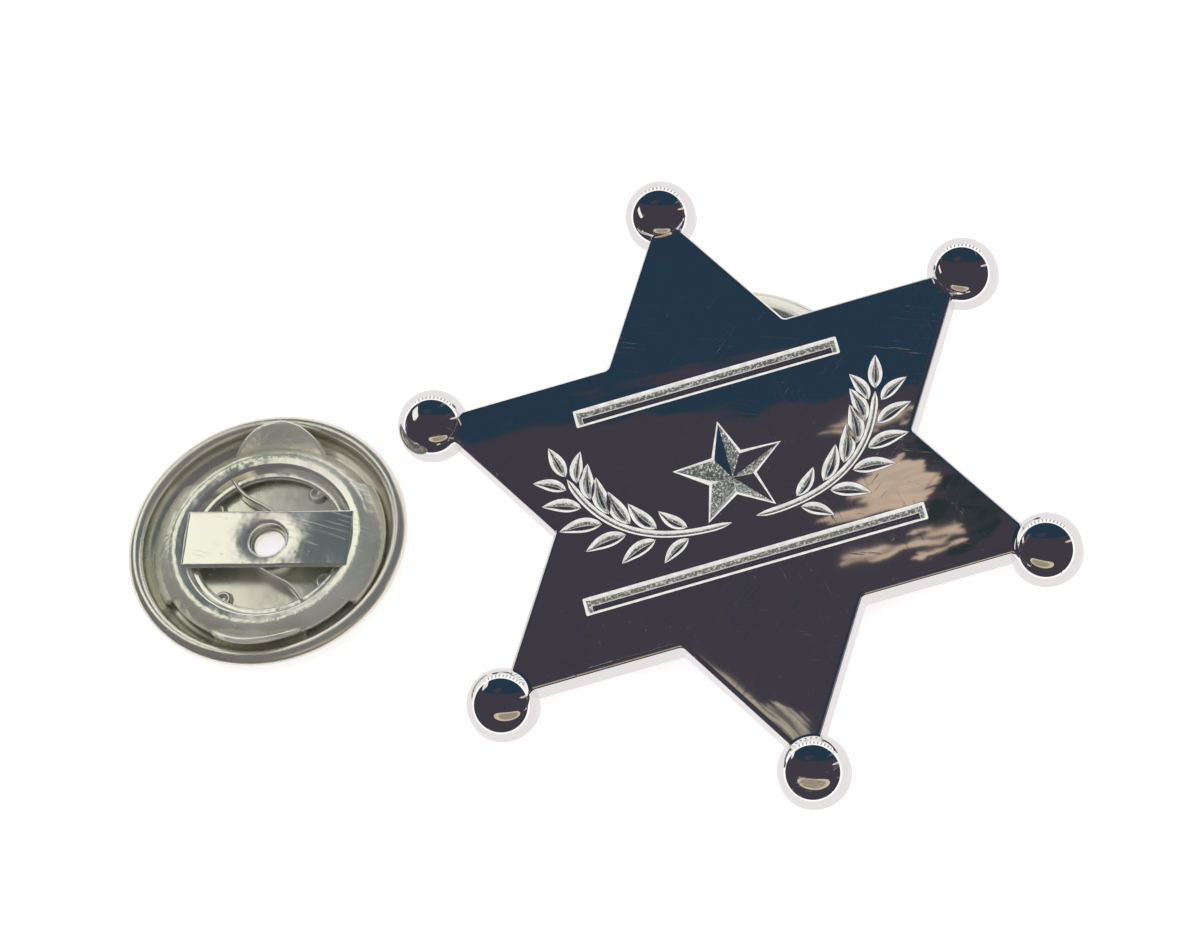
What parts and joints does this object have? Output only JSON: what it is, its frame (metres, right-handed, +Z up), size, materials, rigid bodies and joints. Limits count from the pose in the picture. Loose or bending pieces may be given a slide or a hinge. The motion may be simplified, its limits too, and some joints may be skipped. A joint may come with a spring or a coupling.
{
  "type": "sheriff star badge with butterfly clutches",
  "caption": "Six-point star lapel badge with domed tips, V-cut bars and a laurel ornament, on its butterfly clutch, with another clutch of the same kind lying loose beside it.",
  "frame": {"origin": "bottom centre of the whole object's box, on the surface that the badge and the loose clutch lie on", "axes": "+Z up, +Y towards the star's top tip, +X to the right of the star seen from its face"},
  "size_m": [0.0368, 0.0282, 0.0048],
  "materials": {
    "star_nickel": "mirror-polished nickel plate on a zinc alloy casting",
    "clutch_nickel": "bright nickel plate on stamped brass, slightly worn",
    "spring_nickel": "bright nickel plate on spring steel"
  },
  "bodies": {
    "root": {"star_body": "star_nickel", "clutch_cup": "clutch_nickel", "clutch_spring": "spring_nickel", "loose_cup": "clutch_nickel", "loose_spring": "spring_nickel"}
  },
  "joints": []
}
